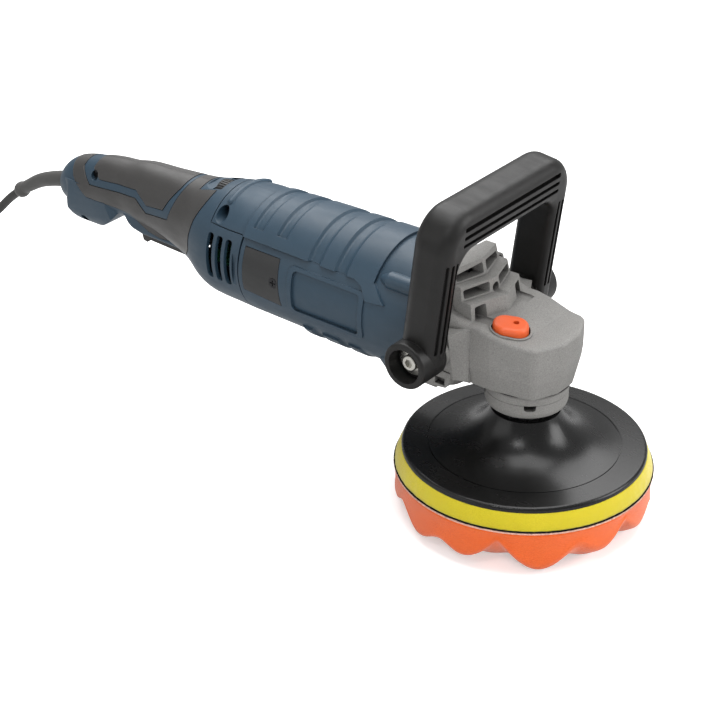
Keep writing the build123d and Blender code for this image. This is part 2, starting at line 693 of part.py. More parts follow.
# ---------------------------------------------------------------- motor housing
def motor_housing():
    outer = [
        (FLANGE_BACK, 39.3), (-70, 39.5), (-105, 39.1), (-122, 38.8), (-143, 38.3),
        (-167, 37.8), (SEAM_X, 37.5),
    ]
    profile = outer + [(SEAM_X, 34.9), (FLANGE_BACK, 36.4)]
    shell = lathe_x(profile)
    shell += raised_cover()
    shell += underside_skin()
    shell += panel_frame()
    shell += mirrored(panel_frame())
    shell += front_bulges()

    # seat of the field core, and the wall that carries the rear motor bearing
    for turn in range(4):
        rib = block(CORE_BACK - 4, CORE_FRONT + 4, -3, 3, MOTOR_Z + FIELD_R + CLEAR, MOTOR_Z + 36.2)
        shell += spin_x(rib, 45 + 90 * turn)
    stop = lathe_x([(-132, FIELD_R - 1), (-132, 36), (-129, 36), (-128.1, FIELD_R - 1)])
    shell += stop
    shell += lathe_x([(-183, 11.5 + CLEAR), (-183, 14.5), (-175.6, 14.5), (-175.6, 11.5 + CLEAR)])
    for turn in range(4):
        arm = block(-183, -176, -4, 4, MOTOR_Z + 13, MOTOR_Z + 36)
        shell += spin_x(arm, 45 + 90 * turn)

    shell -= cover_grooves()
    shell -= side_panels()
    shell -= brush_openings()
    for y, z in housing_screw_places():
        shell -= cyl_x(1.9 + CLEAR, -72, -51, y, z)
    return shell


def wedge(half_angle, x0, x1, up=1):
    """Slice of the space above (or below) the motor axis within an angle of the vertical."""
    reach = 60
    points = [
        (0, MOTOR_Z), (reach * sin(half_angle), MOTOR_Z + up * reach * cos(half_angle)),
        (0, MOTOR_Z + up * 2 * reach), (-reach * sin(half_angle), MOTOR_Z + up * reach * cos(half_angle)),
    ]
    return front_prism(points, x0, x1)


def raised_cover():
    """Slightly raised skin over the top of the housing, with a tongue at its front."""
    skin = lathe_x([(-73, 38), (-73, 41.2), (-105, 41.0), (-143, 40.6), (SEAM_X, 39.8), (SEAM_X, 36)])
    return skin & side_prism(RAISED_EDGE, -60, 60)


def underside_skin():
    """Raised band under the housing that carries the lower grooves."""
    skin = lathe_x([(-94, 38), (-97, 40.4), (-138, 40.0), (-141, 38)])
    return skin & wedge(radians(52), -141, -94, -1)


def ring_groove(x_back, x_front, floor):
    """Ring-shaped cutter with sloping walls."""
    return lathe_x([
        (x_back - 0.8, 46), (x_back - 0.8, 41.4), (x_back, 40.9), (x_back + 1.6, floor + 0.3),
        (x_back + 2.6, floor), (x_front - 3.0, floor + 0.1), (x_front - 1.6, floor + 0.5),
        (x_front + 0.4, 40.9), (x_front + 1.4, 41.4), (x_front + 1.4, 46),
    ])


def cover_grooves():
    """Four wide grooves across the raised skin, two of them repeated on the underside."""
    cuts = []
    for x_back, x_front, floor, half in TOP_GROOVES:
        cutter = ring_groove(x_back, x_front, floor)
        cuts.append(cutter & wedge(radians(half), x_back - 2, x_front + 2))
    for x_back, x_front, _floor, half in TOP_GROOVES[2:]:
        cutter = ring_groove(x_back, x_front, 38.3)
        cuts.append(cutter & wedge(radians(half), x_back - 2, x_front + 2, -1))
    return cuts


def panel_frame():
    """Raised border round the recessed panel on the near side."""
    skin = lathe_x([(-145.5, 38.0), (-145.5, 39.1), (-88.5, 40.1), (-88.5, 38.6)])
    return skin & rounded_window(-145.5, -88.5, 95.0, 125.4, 4.0)


def rounded_window(x0, x1, z0, z1, radius):
    """Block reaching out through the near side, with rounded corners."""
    window = block(x0, x1, -46, -30, z0, z1)
    return fillet(window.edges().filter_by(Axis.Y), radius)


def side_panels():
    """Shallow recessed panel on each side."""
    floor = lathe_x([(-143, 37.5), (-143, 46), (-91, 46), (-91, 38.1)])
    panel = floor & rounded_window(-142, -92, 97.5, 123.0, 3.0)
    return [panel, mirrored(panel)]


def front_bulges():
    """Swellings over the front screw bosses."""
    bulges = []
    skin = lathe_x([(FLANGE_BACK, 36.0), (FLANGE_BACK, 46), (-82, 46), (-82, 36.0)])
    for y, z in housing_screw_places():
        boss = cyl_x(5.2, FLANGE_BACK, -82, y, z)
        boss = chamfer(boss.edges().group_by(Axis.X)[0], 6.0, 3.4)
        bulges.append(boss & skin)
    return bulges


def brush_cover_window(gap):
    """Outline of the brush cover in the XZ plane, seen from the side."""
    return [
        (-181 + gap, 98.2 + gap), (-181 + gap, 126 - gap),
        (-153.5 - gap, 126 - gap), (-151.5 - gap, 96 + gap),
    ]


def brush_openings():
    cuts = []
    for side in (-1, 1):
        y0, y1 = sorted((side * 24, side * 45))
        recess = side_prism(brush_cover_window(0.0), y0, y1)
        cuts.append(recess & lathe_x([(-183, 35.9), (-183, 45), (-150, 45), (-150, 36.2)]))
        cuts.append(side_prism([(-177, 101), (-177, 116), (-160.5, 116), (-160.5, 101)], y0, y1))
        cuts.append(cyl_y(1.5, side * 30, side * 45, *BRUSH_SCREW))
    return cuts


def brush_cover():
    plate = side_prism(brush_cover_window(0.25), -45, -24)
    plate &= lathe_x([(-183, 35.92), (-183, 37.7), (-150, 38.2), (-150, 36.22)])
    plate -= cyl_y(1.5, -45, -30, *BRUSH_SCREW)
    return plate - cyl_y(3.1, -45, -36.9, *BRUSH_SCREW)


def brush_cover_screws():
    x, z = BRUSH_SCREW
    screw = cyl_y(3.0, -38.1, -36.9, x, z) + cyl_y(1.5, -37.0, -34.6, x, z)
    cross = block(x - 2, x + 2, -39, -37.5, z - 0.4, z + 0.4)
    cross += block(x - 0.4, x + 0.4, -39, -37.5, z - 2, z + 2)
    return both_sides(screw - cross)


# ---------------------------------------------------------------- motor inside
def armature_shaft():
    profile = [
        (-11.2, 0), (-11.2, 1.6), (-11.6, 2.0), (-26.8, 2.0), (-26.8, 4.0), (-36.0, 4.0),
        (-36.0, SHAFT_R), (-174.0, SHAFT_R), (-174.0, 3.5), (-183.5, 3.5), (-183.5, 0),
    ]
    return lathe_x(profile)


def slot(angle, grow):
    """One of the twelve winding slots of the armature."""
    half = 1.5 - grow
    bar = block(-150, -60, -half, half, MOTOR_Z + 11.0 + grow, MOTOR_Z + 17.0 - grow)
    return spin_x(bar, angle)


def armature_core():
    core = cyl_x(CORE_R, CORE_BACK, CORE_FRONT) - cyl_x(SHAFT_R, -130, -70)
    mouth = block(-150, -60, -0.7, 0.7, MOTOR_Z + 16, MOTOR_Z + 20)
    return core - [slot(30 * k, 0.0) for k in range(12)] - [spin_x(mouth, 30 * k) for k in range(12)]


def armature_winding():
    front = lathe_x([
        (CORE_FRONT + 0.3, 7), (CORE_FRONT + 0.3, 17), (-72.5, 17.2), (-69.5, 14.5), (-69.0, 9), (-70.5, 7),
    ])
    back = lathe_x([
        (CORE_BACK - 0.3, 7), (CORE_BACK - 0.3, 17), (-134.5, 17.2), (-138, 14.0), (-138.5, 9), (-137, 7),
    ])
    bars = [slot(30 * k, 0.05) & block(-129, -77, -30, 30, 80, 140) for k in range(12)]
    return front + back + bars


def commutator():
    body = lathe_x([
        (-149.5, SHAFT_R), (-149.5, 12.0), (-167.0, 12.0), (-167.0, 8.0), (-169, 8.0), (-169, SHAFT_R),
    ])
    body += lathe_x([(-146.0, SHAFT_R), (-146.0, 13.6), (-149.5, 13.6), (-149.5, SHAFT_R)])
    cut = block(-168, -145, -0.3, 0.3, MOTOR_Z + 11.2, MOTOR_Z + 14.5)
    return body - [spin_x(cut, 15 * k) for k in range(24)]


def cooling_fan():
    fan = lathe_x([
        (-43.5, SHAFT_R), (-43.5, 9.0), (-54.0, 10.5), (-54.5, 32.0), (-56.5, 32.0), (-56.5, SHAFT_R),
    ])
    blade = block(-54.6, -45.5, -0.7, 0.7, MOTOR_Z + 9.0, MOTOR_Z + 31.5)
    blade = blade.rotate(Axis((-50, 0, MOTOR_Z + 9.0), (1, 0, 0)), 18)
    return fan + [spin_x(blade, 30 * k) for k in range(12)]


def bearing_plate():
    plate = cyl_x(17.2, -36.0, -34.5) - cyl_x(8.6, -37, -34)
    hole = cyl_x(1.3, -37, -34, 0, MOTOR_Z + RETAINER_SCREW_R)
    return plate - [spin_x(hole, 60 + 120 * k) for k in range(3)]


def plate_screws():
    height = MOTOR_Z + RETAINER_SCREW_R
    screw = cyl_x(2.4, -37.4, -36.0, 0, height) + cyl_x(1.2, -36.1, -31.0, 0, height)
    return group(spin_x(screw, 60 + 120 * k) for k in range(3))


def bearing_sleeve():
    return lathe_x([(-176.0, 9.5), (-176.0, 11.5), (-182.6, 11.5), (-182.6, 9.5)])


def field_core():
    ring = cyl_x(FIELD_R, CORE_BACK, CORE_FRONT) - cyl_x(FIELD_BORE_R, -130, -70)
    for side in (-1, 1):
        corners = [(14, -16), (28, -10), (28, 10), (14, 16)]
        ring -= front_prism([(side * y, MOTOR_Z + z) for y, z in corners], -130, -70)
    return ring


def field_coils():
    """Upper and lower field coil; each runs along the core and turns over its ends."""
    coils = []
    for side in (-1, 1):
        loops = []
        for hand in (-1, 1):
            low, high = MOTOR_Z + side * 1.2, MOTOR_Z + side * 8.4
            loops.append(block(-134, -72, hand * 20.4, hand * 27.2, low, high))
        for x0, x1 in ((-134, -128.3), (-77.7, -72)):
            arch = lathe_x([(x0, 20.4), (x0, 28.0), (x1, 28.0), (x1, 20.4)])
            z0, z1 = sorted((MOTOR_Z + side * 1.2, MOTOR_Z + side * 40))
            loops.append(arch & block(x0, x1, -40, 40, z0, z1))
        coils.append(loops[0] + loops[1] + loops[2] + loops[3])
    return group(coils)


def air_baffle():
    return lathe_x([
        (-60, 22), (-58.5, 22), (-58.5, 33), (-60.5, 35.9), (-64, 35.9), (-64, 34.4), (-61.8, 33), (-60, 30),
    ])


def brush_holders():
    holder = block(-164.5, -155.5, -31.0, -13.2, 104.0, 113.0) - block(-163.2, -156.8, -32, -12, 105.3, 111.7)
    lug = block(-168.5, -164.5, -31.0, -29.2, 105.0, 112.0)
    return both_sides(holder + lug)


def carbon_brushes():
    brush = block(-163.1, -156.9, -24.5, -12.15, 105.4, 111.6)
    return both_sides(brush)


def brush_springs():
    spring = Pos(BRUSH_X, -24.6, MOTOR_Z) * Rot(90, 0, 0) * coil(2.2, 0.4, 0.0, 6.0, 4)
    return both_sides(spring)


# ---------------------------------------------------------------- rear handle
def handle_loft(shrink, x_front=SEAM_X):
    """Smooth body through the handle sections, each made smaller by shrink."""
    rings = []
    for x, half_width, half_height, centre in HANDLE_SECTIONS:
        ring = Ellipse(half_height - shrink, half_width - shrink)
        rings.append(Pos(x, 0, centre) * Rot(0, 90, 0) * ring)
    return loft(rings)


def heel():
    """Lump under the rear end that keeps the hand from slipping off."""
    points = [
        (-309, 103), (-313, 97), (-319.5, 91), (-329, 86), (-340, 84.2),
        (-347, 86), (-352.5, 91.5), (-356.5, 100), (-358.5, 111), (-338, 116),
    ]
    outline = Plane.XZ * make_face(Spline(*points, periodic=True))
    side = Pos(0, 20, 0) * extrude(outline, 40)
    flanks = [(16.2, 117), (15.9, 108), (14.6, 98), (11.6, 89.5), (6.0, 84.2), (0, 82.8)]
    flanks += [(-y, z) for y, z in reversed(flanks[:-1])]
    curve = Spline(*[(0, y, z) for y, z in flanks])
    lid = Polyline((0, -16.2, 117), (0, 16.2, 117))
    front = Pos(-370, 0, 0) * extrude(make_face([curve, lid]), 70, dir=(1, 0, 0))
    plan = Pos(-333.5, 0, 60) * extrude(RectangleRounded(52, 33, 14), 60)
    return side & front & plan


def trigger_lump(grow=0.0):
    """Part of the shell that drops below the grip and houses the trigger."""
    points = [(-236, 92), (-288, 93.2), (-294, 94.5), (-299, 99), (-304, 106), (-300, 116), (-236, 116)]
    lump = side_prism(points, -13.5 - grow, 13.5 + grow)
    low_edges = lump.edges().filter_by(lambda e: e.center().Z < 95)
    return fillet(low_edges, 2.5)


def handle_solid():
    return handle_loft(0.0) + heel() + trigger_lump()


def handle_inside():
    body = handle_loft(SHELL) & block(-362, SEAM_X + 1, -60, 60, 40, 180)
    room = side_prism([(-240, 90), (-291, 90), (-296, 101), (-298, 112), (-240, 112)], -10.5, 10.5)
    return body + room


def grip_layer(outline, grow=0.0):
    """Skin of the handle within a side outline, on the near side, as a soft panel."""
    edge = Plane.XZ * offset(make_face(Polyline(*outline, close=True)), amount=grow, kind=Kind.INTERSECTION)
    window = Pos(0, -0.05, 0) * extrude(edge, 60) - dial_surround(grow)
    outer = handle_loft(-PANEL_PROUD) + trigger_lump(PANEL_PROUD)
    inner = handle_loft(PANEL_DEPTH) + trigger_lump(-PANEL_DEPTH)
    return (outer - inner) & window


def dial_surround(grow=0.0):
    """Room the grip band leaves around the speed dial."""
    return block(-237.0 + grow, -219.0 - grow, -11.5 + grow, 11.5 - grow, 125, 160)


def handle_shell():
    """Near half of the rear handle, hollow, without its fine detail."""
    half = handle_solid() - handle_inside()
    return half - block(-400, 0, 0, 100, 0, 300)


def shell_cuts():
    """Openings that both halves of the rear handle have."""
    cuts = []
    for x0 in (-211.2, -203.5, -195.9):
        opening = block(x0, x0 + 4.8, -45, -24, 97.0, 126.0)
        cuts.append(fillet(opening.edges().filter_by(Axis.Y), 1.8))
    cuts.append(block(-189.5, -186.5, -45, -35.9, 98.5, 124.5))
    cuts.append(block(-235.0, -219.8, -10.2, 10.2, 140.9, 160))
    cuts.append(block(-228.4, -220.6, -9.0, 9.0, 121, 160))
    cuts.append(block(-293, -247, -9.0, 9.0, 80, 106))
    cuts.append(cyl_x(5.5, -380, -350, 0, GUARD_Z))
    cuts.append(cyl_y(2.0, -12, 12, TRIGGER_X, TRIGGER_Z))
    cuts.append(block(-212.4, SEAM_X, -45, -28.9, 130.5, 131.1))
    cuts.append(lathe_x([(SEAM_X - 0.8, 36.4), (SEAM_X - 0.8, 45), (SEAM_X + 1, 45), (SEAM_X + 1, 36.4)]))
    seam = lathe_x([(-212.4, 34.9), (-212.4, 45), (-211.8, 45), (-211.8, 34.9)])
    cuts.append(seam & block(-214, -210, -60, -0.0, 131, 160))
    return cuts


def ridge():
    """Near half of the rounded rib across the top of the handle, with a ball at its end."""
    centre_r = 38.0
    ring = lathe_x([(-207.6, 33), (-207.6, centre_r), (-203.4, centre_r), (-203.4, 33)])
    crown = Pos(-205.5, 0, MOTOR_Z) * revolve(Plane.XZ * Pos(0, centre_r, 0) * Circle(2.1), Axis.X)
    rib = (ring + crown) & wedge(radians(28), -212, -200)
    ball = Pos(-205.5, -centre_r * sin(radians(28)), MOTOR_Z + centre_r * cos(radians(28))) * Sphere(2.1)
    return (rib + ball) & block(-212, -200, -30, 0, 130, 160)


def handle_half():
    """Near half with openings, screw posts and the pockets of its grip panels."""
    half = handle_shell() - shell_cuts()
    for outline in (PANEL_UPPER, BAND_TOP + BAND_BOTTOM):
        half -= grip_layer(outline, PANEL_SEAM)
    half += ridge()
    inside = handle_loft(PANEL_DEPTH + 0.3)
    for x, z, radius, _depth, _well in SHELL_SCREWS:
        half += cyl_y(radius, -30, 0, x, z) & inside
        half -= cyl_y(1.45, -16, 1, x, z)
    half += block(-337, -329, -14, -4.0, 100.0, 108.5) & inside
    half -= cyl_z(1.2, 101.5, 110, -333, -7.0)
    half -= cyl_x(3.1, -345, -325, 0, GUARD_Z)
    return half


def screw_wells(half):
    """Open the screw wells, which only the near side has."""
    for x, z, _radius, depth, well in SHELL_SCREWS:
        half -= cyl_y(well, -45, -depth, x, z)
    return half - cyl_y(2.9, -30, -5.5, *HEEL_SCREW)


def shell_screws():
    screws = []
    for x, z, _radius, depth, _well in SHELL_SCREWS:
        head = cyl_y(3.0, -depth - 2.4, -depth, x, z) + cyl_y(1.4, -depth, 10, x, z)
        cross = block(x - 1.8, x + 1.8, -depth - 3, -depth - 1.4, z - 0.4, z + 0.4)
        cross += block(x - 0.4, x + 0.4, -depth - 3, -depth - 1.4, z - 1.8, z + 1.8)
        screws.append(head - cross)
    return group(screws)


# ---------------------------------------------------------------- switch, dial and cord
def trigger():
    points = [
        (-291.6, 90.6), (-290.6, 87.2), (-287.4, 86.3), (-284.4, 88.6), (-270, 88.0),
        (-255, 87.4), (-249.4, 89.4), (-247.8, 94.0), (-247.8, 101.0), (-255.6, 101.0),
        (-259, 96.4), (-290, 94.8),
    ]
    paddle = side_prism(points, -8.6, 8.6)
    paddle = fillet(paddle.edges().filter_by(Axis.Y).filter_by(lambda e: e.center().Z < 90), 0.7)
    paddle -= cyl_y(2.0 + RUN, -12, 12, TRIGGER_X, TRIGGER_Z)
    return paddle


def trigger_pin():
    return cyl_y(2.0, -11.9, 11.9, TRIGGER_X, TRIGGER_Z)


def switch_body():
    box = block(-285, -259, -8.4, 8.4, 102.5, 121)
    box = chamfer(box.edges().filter_by(Axis.Y), 1.0)
    plunger = cyl_z(2.6, 100.2, 103, -274, 0)
    terminals = [block(-288, -285, y, y + 2.0, 112, 112.8) for y in (-6, -1, 4)]
    return box + plunger + terminals


def speed_dial():
    wheel = cyl_x(9.4, -227.8, -221.2, 0, DIAL_Z)
    wheel = fillet(wheel.edges(), 0.6)
    notch = block(-229, -220, -0.35, 0.35, DIAL_Z + 8.9, DIAL_Z + 10)
    axis = Axis((0, 0, DIAL_Z), (1, 0, 0))
    wheel = wheel - [notch.rotate(axis, 12 * k) for k in range(30)]
    return wheel + cyl_x(1.8, -231, -218, 0, DIAL_Z)


def speed_board():
    board = block(-226, -190, -17, 17, 97.0, 98.6)
    parts = [
        block(-224, -214, -14, -4, 98.5, 104), block(-224, -216, 2, 12, 98.5, 108),
        cyl_z(5.0, 98.5, 111, -203, 8), cyl_z(4.0, 98.5, 108, -203, -8),
        block(-196, -191, -12, 12, 98.5, 103),
    ]
    return board + parts


def cord_spline(points):
    return Spline(*[(x, 0, z) for x, z in points])


def cord_guard():
    """Flexible sleeve with a flange inside the handle and a bead at its free end."""
    path = cord_spline(CORD_PATH)
    guard = None
    for start, first, end, last in GUARD_STEPS:
        rings = []
        for share in (0.0, 0.5, 1.0):
            at = start + (end - start) * share
            rings.append(Plane(path @ at, z_dir=path % at) * Circle(first + (last - first) * share))
        piece = loft(rings)
        guard = piece if guard is None else guard + piece
    return guard - cord(CORD_R + CLEAR)


def cord(radius):
    path = cord_spline(CORD_PATH + CORD_END)
    return sweep(Plane(path @ 0, z_dir=path % 0) * Circle(radius), path)


def cord_clamp():
    bar = block(-336.5, -329.5, -9.5, 9.5, 108.8, 112.0)
    return bar - cyl_z(1.3, 100, 115, -333, -7.0) - cyl_z(1.3, 100, 115, -333, 7.0)


def clamp_screws():
    screw = cyl_z(2.4, 112.0, 114.0, -333, -7.0) + cyl_z(1.15, 102.0, 112.0, -333, -7.0)
    return both_sides(screw - block(-335, -331, -7.4, -6.6, 113.2, 115))


def housing_screws():
    screws = []
    for y, z in housing_screw_places():
        screw = cyl_x(3.4, -45.0, -42.0, y, z) + cyl_x(1.9, -68, -45.0, y, z)
        socket = Pos(-43.4, y, z) * Rot(0, 90, 0) * extrude(RegularPolygon(1.7, 6), 3)
        screws.append(screw - socket)
    return group(screws)


def main():
    os.makedirs(OUT, exist_ok=True)
    spindle_bearing = Pos(0, 0, 80.5) * bearing(SPINDLE_R, 16.0, 10.0)
    near_half = handle_half()
    near_panel = grip_layer(PANEL_UPPER)
    near_band = grip_layer(BAND_TOP + BAND_BOTTOM)
    near_cover = brush_cover()
    nodes = {
        "backing_plate": backing_plate(),
        "hub_insert": hub_insert(),
        "plate_foam": plate_foam(),
        "hook_layer": hook_layer(),
        "loop_layer": loop_layer(),
        "foam_pad": foam_pad(),
        "spindle": spindle(),
        "spindle_bearing": spindle_bearing,
        "bevel_wheel": bevel_wheel(),
        "bevel_pinion": bevel_pinion(),
        "pinion_nut": pinion_nut(),
        "retaining_ring": retaining_ring(),
        "needle_bush": needle_bush(),
        "dust_seal": dust_seal(),
        "bearing_cover": bearing_cover(),
        "gear_housing": gear_housing(),
        "lock_button": lock_button(),
        "lock_pin": lock_pin(),
        "lock_spring": lock_spring(),
        "loop_handle": loop_handle(),
        "handle_bolts": handle_bolts(),
        "handle_washers": handle_washers(),
        "motor_housing": motor_housing(),
        "brush_cover_right": near_cover,
        "brush_cover_left": mirrored(near_cover),
        "brush_cover_screws": brush_cover_screws(),
        "armature_shaft": armature_shaft(),
        "armature_core": armature_core(),
        "armature_winding": armature_winding(),
        "commutator": commutator(),
        "cooling_fan": cooling_fan(),
        "front_motor_bearing": bearing_x(4.0, 11.0, -34.2, -27.2),
        "bearing_plate": bearing_plate(),
        "plate_screws": plate_screws(),
        "rear_motor_bearing": bearing_x(3.5, 9.5, -182.0, -176.0),
        "bearing_sleeve": bearing_sleeve(),
        "field_core": field_core(),
        "field_coils": field_coils(),
        "air_baffle": air_baffle(),
        "brush_holders": brush_holders(),
        "carbon_brushes": carbon_brushes(),
        "brush_springs": brush_springs(),
        "housing_screws": housing_screws(),
        "handle_shell_right": screw_wells(near_half),
        "handle_shell_left": mirrored(near_half),
        "grip_panel_right": screw_wells(near_panel),
        "grip_panel_left": mirrored(near_panel),
        "grip_band_right": near_band,
        "grip_band_left": mirrored(near_band),
        "shell_screws": shell_screws(),
        "trigger": trigger(),
        "trigger_pin": trigger_pin(),
        "switch_body": switch_body(),
        "speed_dial": speed_dial(),
        "speed_board": speed_board(),
        "cord_guard": cord_guard(),
        "power_cord": cord(CORD_R),
        "cord_clamp": cord_clamp(),
        "clamp_screws": clamp_screws(),
    }
    for name, shape in nodes.items():
        write(name, shape)


main()
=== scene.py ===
"""Rotary polisher: finishes, soft pieces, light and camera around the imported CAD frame.

Metres, in the frame of the CAD: origin at the centre of the foam's working face, +Z up along the
spindle, +X towards the nose of the gear head.
"""
import json
import math

import bpy
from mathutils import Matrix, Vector, noise


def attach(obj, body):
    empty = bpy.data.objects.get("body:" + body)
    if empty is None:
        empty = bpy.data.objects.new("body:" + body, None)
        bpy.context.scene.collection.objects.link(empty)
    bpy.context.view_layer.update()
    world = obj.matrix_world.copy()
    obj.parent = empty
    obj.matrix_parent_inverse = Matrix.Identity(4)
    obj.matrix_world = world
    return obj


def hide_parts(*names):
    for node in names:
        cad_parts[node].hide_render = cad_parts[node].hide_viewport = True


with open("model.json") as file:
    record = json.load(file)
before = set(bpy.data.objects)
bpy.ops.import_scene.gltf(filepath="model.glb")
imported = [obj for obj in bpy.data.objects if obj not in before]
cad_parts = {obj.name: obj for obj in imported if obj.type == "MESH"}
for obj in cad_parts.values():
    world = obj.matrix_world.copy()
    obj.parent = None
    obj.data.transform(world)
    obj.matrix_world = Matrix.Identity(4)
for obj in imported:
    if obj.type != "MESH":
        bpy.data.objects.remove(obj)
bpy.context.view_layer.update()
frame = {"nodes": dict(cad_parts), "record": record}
NODES = frame["nodes"]

MM = 0.001

# foam pad
FOAM_R = 75.0 * MM
FOAM_BACK = 28.0 * MM
LOBE_PITCH = 34.1 * MM       # spacing of the waffle lobes
LOBE_TURN = math.radians(80)
LOBE_SHIFT = (0.324, 0.678)  # share of a pitch the grid is moved along its two axes
LOBE_DEPTH = 18.0 * MM       # from a lobe's tip to the bottom of a pit
LOBE_POINT = 0.523           # below 1 the tips are blunt and the pits narrow
CENTRE_FLAT = 5.0 * MM       # the lobe on the axis has a flat tip
CENTRE_WIDTH = 14.0 * MM     # from that flat tip out to the depth of the pits
RIM_WIDTH = 19.0 * MM        # band inside the edge over which the face lifts
RIM_LIFT = 3.85 * MM
FOAM_CORNER = 3.0 * MM       # soft corner between the side and the waffle face
FOAM_AROUND = 480
SIDE_RINGS = 16
FACE_RINGS = 110

# fabric layers between the foam and the plate
LOOP_R = 75.7 * MM
LOOP_TOP = 29.2 * MM
HOOK_R = 75.6 * MM
HOOK_TOP = 30.3 * MM

# yellow foam of the plate
PLATE_FOAM_LOW = 30.0 * MM
PLATE_FOAM_TOP = 39.8 * MM
PLATE_FOAM_LOW_R = 74.8      # millimetres
PLATE_FOAM_TOP_R = 71.3      # millimetres
PLATE_FOAM_SWELL = 0.4      # millimetres

# cord
CORD_R = 3.0 * MM
CORD_PATH = [(-326, 105.8), (-345, 105.8), (-366, 105.6), (-388.5, 99), (-404, 90.5), (-415.5, 82.5)]
CORD_END = [(-425.5, 74.5), (-436.5, 64), (-448.5, 53.5), (-462, 43.5)]
GUARD_FROM = 0.30            # the guard's ends, as shares of the cord path
GUARD_TO = 0.985
GUARD_RADII = [              # share of the guard's length, outer radius in millimetres
    (0.0, 7.0), (0.08, 7.0), (0.09, 5.6), (0.34, 5.2), (0.66, 4.7), (0.895, 4.2),
    (0.905, 4.5), (0.925, 5.3), (0.955, 5.5), (0.985, 5.2), (1.0, 4.6),
]

# floor: what it gives back to the tool, and how much it shines on its own towards the camera
FLOOR_BOUNCE = (0.50, 0.50, 0.50)
FLOOR_GLOW = 0.35
FLOOR_HALF = 8.0

# studio: even light all round, and soft boxes
ROOM_LIGHT = 0.42
SOFTBOXES = [                # name, place, target, width, height, watts, seen in reflections
    ("overhead", (-0.15, 0.05, 1.7), (-0.15, 0, 0.1), 1.4, 1.0, 21.0, True),
    ("back", (-0.65, 0.90, 1.40), (-0.2, 0, 0.1), 2.0, 1.1, 30.0, True),
    ("front_left", (-0.9, -1.5, 0.75), (-0.1, 0, 0.1), 1.5, 0.9, 5.0, True),
    ("front_right", (0.50, -0.50, 0.26), (0.02, 0, 0.09), 0.4, 0.4, 2.4, False),
    ("spot_left", (0.16, -0.99, 1.25), (0, 0, 0.1), 0.16, 0.16, 1.6, True),
    ("spot_right", (0.36, -0.90, 1.25), (0, 0, 0.1), 0.16, 0.16, 1.6, True),
    ("right", (1.3, 0.8, 0.8), (0, 0, 0.1), 0.8, 1.0, 16.0, True),
]

# camera
CAMERA_AT = (0.5222, -0.8228, 0.6506)
CAMERA_AZIMUTH = math.radians(38.0)
CAMERA_ELEVATION = math.radians(29.75)
LENS = 98.75                 # millimetres
SENSOR_WIDTH = 36.0          # millimetres


